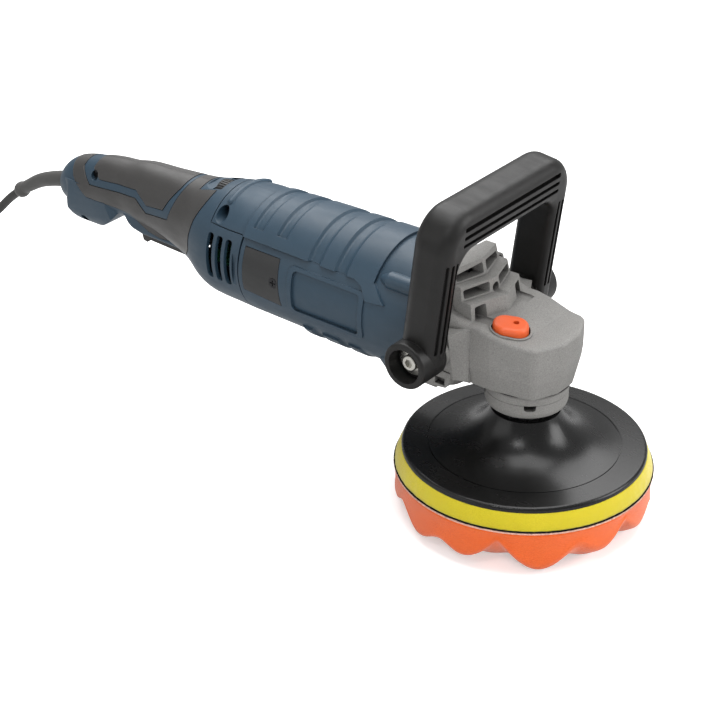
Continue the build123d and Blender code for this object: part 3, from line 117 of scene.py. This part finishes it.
# ---------------------------------------------------------------- node materials
class Finish:
    """A node material under construction. Texture positions are in metres in the row frame."""

    def __init__(self, name):
        self.material = bpy.data.materials.new(name)
        self.material.use_nodes = True
        self.tree = self.material.node_tree
        self.shader = self.tree.nodes["Principled BSDF"]
        self.place = self.tree.nodes.new("ShaderNodeTexCoord").outputs["Object"]

    def node(self, kind, **settings):
        made = self.tree.nodes.new(kind)
        for key, value in settings.items():
            setattr(made, key, value)
        return made

    def link(self, source, target):
        self.tree.links.new(source, target)

    def feed(self, target, value):
        """Connects a socket, or sets a plain number or colour."""
        if isinstance(value, bpy.types.NodeSocket):
            self.link(value, target)
        elif isinstance(value, (tuple, list)) and len(value) == 3 and len(target.default_value) == 4:
            target.default_value = (*value, 1.0)
        else:
            target.default_value = value

    def stretch(self, scale):
        """Positions multiplied axis by axis."""
        mapping = self.node("ShaderNodeMapping")
        self.link(self.place, mapping.inputs["Vector"])
        mapping.inputs["Scale"].default_value = scale
        return mapping.outputs["Vector"]

    def grain(self, size, detail=2.0, rough=0.5, place=None):
        """Soft noise with features of about the given size."""
        made = self.node("ShaderNodeTexNoise")
        self.link(place or self.place, made.inputs["Vector"])
        made.inputs["Scale"].default_value = 1.0 / size
        made.inputs["Detail"].default_value = detail
        made.inputs["Roughness"].default_value = rough
        return made.outputs["Fac"]

    def cells(self, size):
        """Distance to the cell centres of a Voronoi pattern with cells of the given size."""
        made = self.node("ShaderNodeTexVoronoi", feature="F1")
        self.link(self.place, made.inputs["Vector"])
        made.inputs["Scale"].default_value = 1.0 / size
        return made.outputs["Distance"]

    def maths(self, operation, a, b):
        made = self.node("ShaderNodeMath", operation=operation)
        self.feed(made.inputs[0], a)
        self.feed(made.inputs[1], b)
        return made.outputs[0]

    def fit(self, value, low, high, to_low=0.0, to_high=1.0):
        """Maps low..high to to_low..to_high, clamped."""
        made = self.node("ShaderNodeMapRange")
        self.link(value, made.inputs["Value"])
        limits = {"From Min": low, "From Max": high, "To Min": to_low, "To Max": to_high}
        for name, number in limits.items():
            made.inputs[name].default_value = number
        return made.outputs["Result"]

    def mix(self, share, a, b):
        """Colour a at share 0 and b at share 1."""
        made = self.node("ShaderNodeMix", data_type="RGBA")
        self.feed(made.inputs["Factor"], share)
        self.feed(made.inputs["A"], a)
        self.feed(made.inputs["B"], b)
        return made.outputs["Result"]

    def bump(self, height, depth, strength=1.0, below=None):
        made = self.node("ShaderNodeBump")
        self.link(height, made.inputs["Height"])
        made.inputs["Distance"].default_value = depth
        made.inputs["Strength"].default_value = strength
        if below is not None:
            self.link(below, made.inputs["Normal"])
        return made.outputs["Normal"]

    def round_edges(self, radius):
        made = self.node("ShaderNodeBevel", samples=4)
        made.inputs["Radius"].default_value = radius
        return made.outputs["Normal"]

    def edge_share(self, radius):
        """1 on edges, 0 on open surface."""
        rounded = self.round_edges(radius)
        dot = self.node("ShaderNodeVectorMath", operation="DOT_PRODUCT")
        self.link(rounded, dot.inputs[0])
        self.link(self.node("ShaderNodeNewGeometry").outputs["Normal"], dot.inputs[1])
        return self.fit(dot.outputs["Value"], 0.98, 0.80)

    def open_share(self, distance):
        """1 on open surface, towards 0 deep inside holes and corners."""
        made = self.node("ShaderNodeAmbientOcclusion", samples=6)
        made.inputs["Distance"].default_value = distance
        return made.outputs["AO"]

    def set(self, **values):
        for key, value in values.items():
            self.feed(self.shader.inputs[key.replace("_", " ")], value)


def shade(colour, factor):
    return tuple(min(1.0, c * factor) for c in colour)


def moulded(name, colour, rough, grain_size=0.35, grain_depth=0.02, variation=0.06, edge=0.25,
            edge_radius=0.5, metal=0.0, rough_change=0.07, fleck=0.0, sheen=0.0, shine=0.5, painted_shade=0.0):
    """Moulded or cast surface: blotches, fine grain, rubbed edges. Sizes in millimetres.

    fleck adds light and dark specks, and the last parameter gives the depth up to which holes and corners are
    darkened with painted shade.
    """
    made = Finish(name)
    blotch = made.grain(28 * MM, 3.0)
    cloud = made.grain(6 * MM, 4.0, 0.6)
    fine = made.grain(grain_size * MM, 2.0, 0.6)
    share = made.fit(made.maths("ADD", blotch, made.maths("MULTIPLY", cloud, 0.6)), 0.55, 1.05)
    tone = made.mix(share, shade(colour, 1 - variation), shade(colour, 1 + variation))
    if fleck:
        spots = made.fit(made.grain(grain_size * 2.2 * MM, 3.0, 0.75), 0.42, 0.66)
        tone = made.mix(made.maths("MULTIPLY", spots, fleck), tone, shade(colour, 1.6))
        pits = made.fit(made.grain(grain_size * 2.9 * MM, 3.0, 0.8), 0.44, 0.34)
        tone = made.mix(made.maths("MULTIPLY", pits, fleck), tone, shade(colour, 0.5))
    if edge:
        worn = made.maths("MULTIPLY", made.edge_share(edge_radius * MM), made.fit(cloud, 0.35, 0.62))
        tone = made.mix(made.maths("MULTIPLY", worn, edge), tone, shade(colour, 1.8))
    # painted shade: ambient occlusion darkens holes and corners almost to black
    if painted_shade:
        shade_share = made.fit(made.open_share(painted_shade * MM), 0.60, 0.12)
        tone = made.mix(made.maths("MULTIPLY", shade_share, 0.96), tone, shade(colour, 0.04))
    smear = made.grain(9 * MM, 3.0, 0.6, made.stretch((0.4, 1.0, 1.0)))
    roughness = made.fit(smear, 0.3, 0.7, rough - rough_change, rough + rough_change)
    below = made.round_edges(edge_radius * MM) if edge_radius else None
    normal = made.bump(fine, grain_depth * MM, 1.0, below)
    made.set(Base_Color=tone, Roughness=roughness, Metallic=metal, Normal=normal, Specular_IOR_Level=shine)
    if sheen:
        made.set(Sheen_Weight=sheen, Sheen_Roughness=0.4)
    return made


def foam(name, colour, dark, light, cell=0.8, depth=0.35):
    """Open-cell foam: pores of two sizes with painted shade in their pits, soft blotches and a pale bloom."""
    made = Finish(name)
    pores = made.cells(cell * MM)
    small = made.cells(cell * 0.45 * MM)
    wool = made.grain(cell * 0.7 * MM, 4.0, 0.7)
    blotch = made.grain(17 * MM, 3.0)
    # painted shade: the dark colour fills the pits of the pores, where the bump sinks
    open_cells = made.fit(pores, 0.10, 0.52)
    tone = made.mix(open_cells, dark, colour)
    tone = made.mix(made.fit(wool, 0.50, 0.74), tone, light)
    tone = made.mix(made.fit(blotch, 0.3, 0.7, 0.0, 0.22), tone, shade(colour, 0.80))
    height = made.maths("ADD", made.maths("MULTIPLY", pores, 0.7), made.maths("MULTIPLY", small, 0.3))
    height = made.maths("ADD", height, made.maths("MULTIPLY", wool, 0.5))
    normal = made.bump(height, depth * MM, 0.9)
    made.set(Base_Color=tone, Roughness=0.95, Normal=normal, Specular_IOR_Level=0.12,
             Sheen_Weight=0.35, Sheen_Roughness=0.5)
    made.set(Subsurface_Weight=0.25, Subsurface_Scale=2.5 * MM, Subsurface_Radius=(1.0, 0.45, 0.2))
    return made


def turned(name, colour, rough, axis="Z", pitch=0.25, metal=1.0):
    """Machined metal with fine turning marks across the given axis."""
    made = Finish(name)
    waves = made.node("ShaderNodeTexWave", wave_type="BANDS", bands_direction=axis)
    made.link(made.place, waves.inputs["Vector"])
    waves.inputs["Scale"].default_value = 0.16 / (pitch * MM)
    waves.inputs["Distortion"].default_value = 1.2
    waves.inputs["Detail"].default_value = 2.0
    cloud = made.grain(3 * MM, 4.0, 0.6)
    tone = made.mix(made.fit(cloud, 0.3, 0.7), shade(colour, 0.86), shade(colour, 1.06))
    roughness = made.fit(cloud, 0.3, 0.7, rough - 0.07, rough + 0.08)
    normal = made.bump(waves.outputs["Fac"], 0.01 * MM, 0.6, made.round_edges(0.25 * MM))
    made.set(Base_Color=tone, Metallic=metal, Roughness=roughness, Normal=normal)
    return made


def stacked(name, colour, sheet, axis="X"):
    """Stack of thin steel sheets, seen edge on."""
    return turned(name, colour, 0.5, axis, sheet)


def wound(name):
    """Lacquered copper wire, side by side."""
    made = Finish(name)
    waves = made.node("ShaderNodeTexWave", wave_type="BANDS", bands_direction="Y")
    made.link(made.place, waves.inputs["Vector"])
    waves.inputs["Scale"].default_value = 0.16 / (0.8 * MM)
    waves.inputs["Distortion"].default_value = 2.0
    waves.inputs["Detail Scale"].default_value = 1.5
    tone = made.mix(waves.outputs["Fac"], (0.16, 0.045, 0.018), (0.62, 0.24, 0.10))
    normal = made.bump(waves.outputs["Fac"], 0.3 * MM)
    made.set(Base_Color=tone, Metallic=0.85, Roughness=0.32, Normal=normal, Coat_Weight=0.4)
    return made


# some finishes darken holes and corners with painted shade, up to a depth given as the last parameter of
# moulded
FINISHES = {
    "housing_blue": moulded("petrol_plastic", (0.020, 0.043, 0.067), 0.46, 0.30, 0.012, 0.06, 0.25, painted_shade=7,
                            shine=0.42),
    "grip_grey": moulded("soft_grip", (0.024, 0.0225, 0.0215), 0.48, 0.38, 0.03, 0.10, 0.10, sheen=0.10,
                         painted_shade=3, shine=0.6),
    "loop_black": moulded("black_plastic", (0.0075, 0.0072, 0.0070), 0.44, 0.40, 0.02, 0.12, 0.12, painted_shade=5,
                          shine=0.30),
    "plate_black": moulded("plate_rubber", (0.004, 0.004, 0.004), 0.27, 0.9, 0.001, 0.15, 0.0, 0.0,
                           shine=0.34, rough_change=0.01),
    "cast_aluminium": moulded("cast_aluminium", (0.180, 0.1765, 0.169), 0.80, 0.30, 0.04, 0.06, 0.25, 0.6,
                              metal=0.0, rough_change=0.05, fleck=0.50, painted_shade=12, shine=0.3),
    "button_orange": moulded("button_plastic", (0.60, 0.088, 0.018), 0.42, 0.5, 0.01, 0.05, 0.12, shine=0.4),
    "cover_dark": moulded("cover_plastic", (0.014, 0.0145, 0.015), 0.45, 0.4, 0.02, 0.08, 0.15),
    "switch_dark": moulded("switch_plastic", (0.014, 0.014, 0.014), 0.50, 0.4, 0.02, 0.08, 0.15),
    "guard_grey": moulded("guard_rubber", (0.050, 0.049, 0.047), 0.52, 0.5, 0.03, 0.10, 0.12, sheen=0.1),
    "cord_dark": moulded("cord_rubber", (0.016, 0.0155, 0.015), 0.50, 0.5, 0.02, 0.10, 0.0),
    "zinc_bolt": turned("zinc_plate", (0.55, 0.54, 0.50), 0.30, "X", 0.5),
    "steel": turned("ground_steel", (0.50, 0.50, 0.51), 0.30),
    "black_screw": turned("black_screw", (0.045, 0.045, 0.048), 0.40, "Y", 0.4),
    "laminated_steel": stacked("laminated_steel", (0.26, 0.26, 0.27), 0.5),
    "copper": wound("copper_wire"),
    "carbon": moulded("carbon", (0.015, 0.015, 0.017), 0.60, 0.4, 0.02, 0.2, 0.1),
    "brass_part": turned("brass", (0.66, 0.46, 0.18), 0.32, "X", 0.5),
    "board_green": moulded("circuit_board", (0.014, 0.080, 0.035), 0.40, 1.2, 0.02, 0.2, 0.1),
    "felt_grey": moulded("felt", (0.20, 0.19, 0.175), 0.95, 0.3, 0.15, 0.15, 0.0, sheen=0.4),
    "inner_plastic": moulded("inner_plastic", (0.025, 0.025, 0.027), 0.55, 0.4, 0.02, 0.08, 0.15),
    "foam_orange": foam("orange_foam", (0.72, 0.118, 0.022), (0.50, 0.060, 0.010), (0.82, 0.21, 0.055),
                        0.55, 0.16),
    "foam_yellow": foam("yellow_foam", (0.52, 0.43, 0.015), (0.36, 0.29, 0.008), (0.60, 0.52, 0.04),
                        0.45, 0.10),
    "hook_dark": moulded("hook_sheet", (0.006, 0.0055, 0.005), 0.9, 0.6, 0.2, 0.2, 0.0, shine=0.1),
    "loop_pale": moulded("loop_fabric", (0.55, 0.33, 0.26), 0.95, 0.9, 0.25, 0.35, 0.0, fleck=0.8, sheen=0.3),
}
SLOT_OF = {row["node"]: row["material_slot"] for row in frame["record"]["subparts"]}

for name, cad in NODES.items():
    finish = FINISHES[SLOT_OF[name]].material
    cad.data.materials.clear()
    cad.data.materials.append(finish)
    cad.data.polygons.foreach_set("use_smooth", [True] * len(cad.data.polygons))
    cad.data.set_sharp_from_angle(angle=math.radians(28))


# ---------------------------------------------------------------- pieces
def new_piece(name, points, faces, slot, body, replaced, smooth_angle=None):
    """Mesh piece with a slot's finish, riding on a body in place of one CAD node."""
    mesh = bpy.data.meshes.new(name)
    mesh.from_pydata(points, [], faces)
    mesh.validate()
    mesh.polygons.foreach_set("use_smooth", [True] * len(mesh.polygons))
    if smooth_angle:
        mesh.set_sharp_from_angle(angle=math.radians(smooth_angle))
    mesh.materials.append(FINISHES[slot].material)
    made = bpy.data.objects.new(name, mesh)
    bpy.context.scene.collection.objects.link(made)
    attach(made, body)
    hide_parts(replaced)
    return made


def ring_faces(rings, around):
    """Quads between rings of points that run round the same way."""
    faces = []
    for ring in range(rings - 1):
        for step in range(around):
            a = ring * around + step
            b = ring * around + (step + 1) % around
            faces.append((a, b, b + around, a + around))
    return faces


def capped_faces(rings, around):
    """Quads between the rings, and one flat face over each end."""
    faces = ring_faces(rings, around)
    faces.append(tuple(reversed(range(around))))
    last = (rings - 1) * around
    faces.append(tuple(last + step for step in range(around)))
    return faces


def turned_mesh(profile, around, ripple):
    """Points and faces of an open profile of (radius, height) turned about Z, with both ends capped.

    ripple moves each point a little: it takes radius, height and angle, and gives radius and height.
    """
    points = []
    for radius, height in profile:
        for step in range(around):
            angle = 2 * math.pi * step / around
            r, z = ripple(radius, height, angle)
            points.append((r * math.cos(angle), r * math.sin(angle), z))
    return points, capped_faces(len(profile), around)


def lobe_level(x, y):
    """Height of the foam's waffle face above the working plane."""
    u = (x * math.cos(LOBE_TURN) + y * math.sin(LOBE_TURN)) / LOBE_PITCH + LOBE_SHIFT[0]
    v = (-x * math.sin(LOBE_TURN) + y * math.cos(LOBE_TURN)) / LOBE_PITCH + LOBE_SHIFT[1]
    wave = 0.5 + 0.25 * (math.cos(2 * math.pi * u) + math.cos(2 * math.pi * v))
    level = LOBE_DEPTH * (1 - (wave + 0.004) ** LOBE_POINT)
    distance = math.hypot(x, y)
    centre_share = min(1.0, max(0.0, distance - CENTRE_FLAT) / CENTRE_WIDTH)
    centre = LOBE_DEPTH * 0.5 * (1 - math.cos(math.pi * centre_share))
    rim = max(0.0, (distance - FOAM_R + RIM_WIDTH) / RIM_WIDTH)
    return min(max(0.0, level), centre) + RIM_LIFT * rim ** 2


def foam_pad():
    """Closed mesh of the polishing foam: flat back, straight side, then the waffle face."""
    points = []

    def add_ring(place):
        for step in range(FOAM_AROUND):
            points.append(place(2 * math.pi * step / FOAM_AROUND))

    for radius in (2 * MM, 30 * MM, 60 * MM, FOAM_R - 0.9 * MM):
        add_ring(lambda a, r=radius: (r * math.cos(a), r * math.sin(a), FOAM_BACK))

    for k in range(SIDE_RINGS):
        share = k / (SIDE_RINGS - 1)

        def side(a, share=share):
            low = lobe_level(FOAM_R * math.cos(a), FOAM_R * math.sin(a)) + FOAM_CORNER
            high = FOAM_BACK - 0.6 * MM
            z = high + (low - high) * share
            soft = noise.noise(Vector((math.cos(a) * 4, math.sin(a) * 4, share * 1.5)))
            r = FOAM_R - 0.25 * MM - 0.4 * MM * math.sin(math.pi * share) + 0.2 * MM * soft
            return (r * math.cos(a), r * math.sin(a), z)
        add_ring(side)

    for k in range(1, FACE_RINGS):
        share = k / FACE_RINGS

        def face(a, share=share):
            r = FOAM_R - 0.3 * MM - (FOAM_R - 0.3 * MM) * share
            x = r * math.cos(a)
            y = r * math.sin(a)
            level = lobe_level(x, y)
            gap = (FOAM_R - r) / (4.5 * MM)
            if gap < 1:
                level += FOAM_CORNER * (1 - math.sqrt(max(0.0, 1 - (1 - gap) ** 2)))
            level += 0.15 * MM * noise.noise(Vector((x, y, 0)) * 180)
            return (x, y, max(level, 0.02 * MM))
        add_ring(face)

    faces = capped_faces(len(points) // FOAM_AROUND, FOAM_AROUND)
    return new_piece("waffle_foam", points, faces, "foam_orange", "spindle_and_pad", "foam_pad")


def plate_foam():
    """Yellow foam of the backing plate, its side a little full in the middle."""
    low = PLATE_FOAM_LOW
    top = PLATE_FOAM_TOP
    profile = [(2 * MM, low), (40 * MM, low), (73.9 * MM, low)]
    for k in range(12):
        share = k / 11
        slope = (PLATE_FOAM_TOP_R - PLATE_FOAM_LOW_R) * share
        radius = PLATE_FOAM_LOW_R + slope + PLATE_FOAM_SWELL * math.sin(math.pi * share)
        profile.append((radius * MM, (30.15 + 9.5 * share) * MM))
    profile += [(70.6 * MM, top), (40 * MM, top), (2 * MM, top)]

    def ripple(radius, height, angle):
        spot = Vector((radius * math.cos(angle), radius * math.sin(angle), height))
        shift = 0.22 * MM * noise.noise(spot * 300) if 30.1 * MM < height < 39.7 * MM else 0.0
        return radius + shift, height

    points, faces = turned_mesh(profile, 360, ripple)
    return new_piece("plate_foam_ring", points, faces, "foam_yellow", "spindle_and_pad", "plate_foam")


def fabric_layer(name, radius, low, high, fuzz, slot, node):
    """Thin disc of fabric with a frayed edge."""
    middle = (low + high) / 2
    bevel = (high - low) * 0.3
    profile = [
        (2 * MM, low), (radius * 0.5, low), (radius - 0.5 * MM, low), (radius, low + bevel), (radius, middle),
        (radius, high - bevel), (radius - 0.5 * MM, high), (radius * 0.5, high), (2 * MM, high),
    ]

    def ripple(r, height, angle):
        if r < radius * 0.9:
            return r, height
        spot = Vector((math.cos(angle), math.sin(angle), height * 40)) * 90
        return r - fuzz * (0.5 + 0.5 * noise.noise(spot)), height

    points, faces = turned_mesh(profile, 720, ripple)
    return new_piece(name, points, faces, slot, "spindle_and_pad", node)


foam_pad()
plate_foam()
fabric_layer("loop_fabric_layer", LOOP_R, FOAM_BACK, LOOP_TOP, 0.6 * MM, "loop_pale", "loop_layer")
fabric_layer("hook_sheet_layer", HOOK_R, LOOP_TOP, HOOK_TOP, 0.3 * MM, "hook_dark", "hook_layer")


def path_frames(points, steps):
    """Evenly spread places and directions on a smooth curve through points of the middle plane."""
    ends = [tuple(2 * a - b for a, b in zip(points[0], points[1]))]
    ends += points
    ends.append(tuple(2 * a - b for a, b in zip(points[-1], points[-2])))
    dense = []
    for k in range(len(points) - 1):
        p0, p1, p2, p3 = (Vector((x, 0, z)) * MM for x, z in ends[k:k + 4])
        for step in range(40):
            t = step / 40
            dense.append(0.5 * (2 * p1 + (p2 - p0) * t + (2 * p0 - 5 * p1 + 4 * p2 - p3) * t * t
                                + (3 * p1 - p0 - 3 * p2 + p3) * t * t * t))
    dense.append(Vector((points[-1][0], 0, points[-1][1])) * MM)
    travelled = [0.0]
    for a, b in zip(dense, dense[1:]):
        travelled.append(travelled[-1] + (b - a).length)
    frames = []
    spot = 0
    for step in range(steps):
        goal = travelled[-1] * step / (steps - 1)
        while spot < len(dense) - 2 and travelled[spot + 1] < goal:
            spot += 1
        here = dense[spot]
        there = dense[spot + 1]
        share = (goal - travelled[spot]) / (travelled[spot + 1] - travelled[spot])
        frames.append((here.lerp(there, share), (there - here).normalized()))
    return frames


def path_ring(place, direction, radius, around):
    """Circle of points round a path in the middle plane."""
    across = Vector((0, 1, 0))
    up = across.cross(direction).normalized()
    ring = []
    for step in range(around):
        angle = 2 * math.pi * step / around
        ring.append(tuple(place + radius * (math.cos(angle) * across + math.sin(angle) * up)))
    return ring


def guard_radius(share):
    """Outer radius of the cord guard along its path, in millimetres."""
    for (s0, r0), (s1, r1) in zip(GUARD_RADII, GUARD_RADII[1:]):
        if share <= s1:
            return r0 + (r1 - r0) * (share - s0) / (s1 - s0)
    return GUARD_RADII[-1][1]


def cord_guard():
    """Flexible sleeve: a tapered tube with a flange at the handle and a bead at its free end."""
    around = 40
    steps = 400
    whole = path_frames(CORD_PATH, steps)
    frames = whole[int(GUARD_FROM * steps):int(GUARD_TO * steps)]
    count = len(frames)
    points = []
    for k, (place, direction) in enumerate(frames):
        radius = guard_radius(k / (count - 1)) * MM
        points += path_ring(place, direction, radius, around)
    for place, direction in reversed(frames):
        points += path_ring(place, direction, CORD_R + 0.03 * MM, around)
    rings = 2 * count
    faces = ring_faces(rings, around)
    last = (rings - 1) * around
    for step in range(around):
        after = (step + 1) % around
        faces.append((last + step, last + after, after, step))
    return new_piece("cord_guard_sleeve", points, faces, "guard_grey", "machine", "cord_guard", 40)


def power_cord():
    """Round cord with the faint lengthwise waviness of extruded rubber."""
    around = 32
    frames = path_frames(CORD_PATH + CORD_END, 420)
    points = []
    for k, (place, direction) in enumerate(frames):
        wave = 0.04 * MM * noise.noise(Vector((k * 0.05, 3.0, 0)))
        points += path_ring(place, direction, CORD_R - 0.04 * MM + wave, around)
    faces = capped_faces(len(frames), around)
    return new_piece("rubber_cord", points, faces, "cord_dark", "machine", "power_cord", 40)


cord_guard()
power_cord()


# ---------------------------------------------------------------- floor, light and camera
def stage_floor():
    mesh = bpy.data.meshes.new("floor")
    half = FLOOR_HALF
    corners = [(-half, -half, 0), (half, -half, 0), (half, half, 0), (-half, half, 0)]
    mesh.from_pydata(corners, [], [(0, 1, 2, 3)])
    floor = bpy.data.objects.new("floor", mesh)
    bpy.context.scene.collection.objects.link(floor)
    made = Finish("pale_floor")
    seen = made.node("ShaderNodeLightPath").outputs["Is Camera Ray"]
    tone = made.mix(made.grain(0.6, 2.0), (0.88, 0.88, 0.88), (0.91, 0.91, 0.905))
    tone = made.mix(seen, FLOOR_BOUNCE, tone)
    made.set(Base_Color=tone, Roughness=0.9, Specular_IOR_Level=0.1)
    made.set(Emission_Color=(1.0, 1.0, 1.0), Emission_Strength=made.maths("MULTIPLY", seen, FLOOR_GLOW))
    mesh.materials.append(made.material)


def softbox(name, where, target, width, height, power, reflected):
    data = bpy.data.lights.new(name, "AREA")
    data.shape = "RECTANGLE"
    data.size = width
    data.size_y = height
    data.energy = power
    lamp = bpy.data.objects.new(name, data)
    bpy.context.scene.collection.objects.link(lamp)
    lamp.location = where
    lamp.visible_glossy = reflected
    lamp.rotation_mode = "QUATERNION"
    lamp.rotation_quaternion = (Vector(target) - Vector(where)).to_track_quat("-Z", "Y")


def studio():
    world = bpy.data.worlds.new("studio")
    world.use_nodes = True
    background = world.node_tree.nodes["Background"]
    background.inputs["Color"].default_value = (1.0, 1.0, 1.0, 1.0)
    background.inputs["Strength"].default_value = ROOM_LIGHT
    bpy.context.scene.world = world
    for box in SOFTBOXES:
        softbox(*box)


def camera():
    """Long lens, looking down at the tool from the front of its right side."""
    data = bpy.data.cameras.new("camera")
    data.sensor_width = SENSOR_WIDTH
    data.lens = LENS
    data.clip_start = 0.05
    data.clip_end = 50.0
    made = bpy.data.objects.new("camera", data)
    bpy.context.scene.collection.objects.link(made)
    made.location = CAMERA_AT
    level = math.cos(CAMERA_ELEVATION)
    back = Vector((math.sin(CAMERA_AZIMUTH) * level, -math.cos(CAMERA_AZIMUTH) * level,
                   math.sin(CAMERA_ELEVATION)))
    made.rotation_mode = "QUATERNION"
    made.rotation_quaternion = (-back).to_track_quat("-Z", "Y")
    bpy.context.scene.camera = made


stage_floor()
studio()
camera()
bpy.context.scene.view_settings.view_transform = "Standard"
bpy.context.scene.view_settings.look = "None"
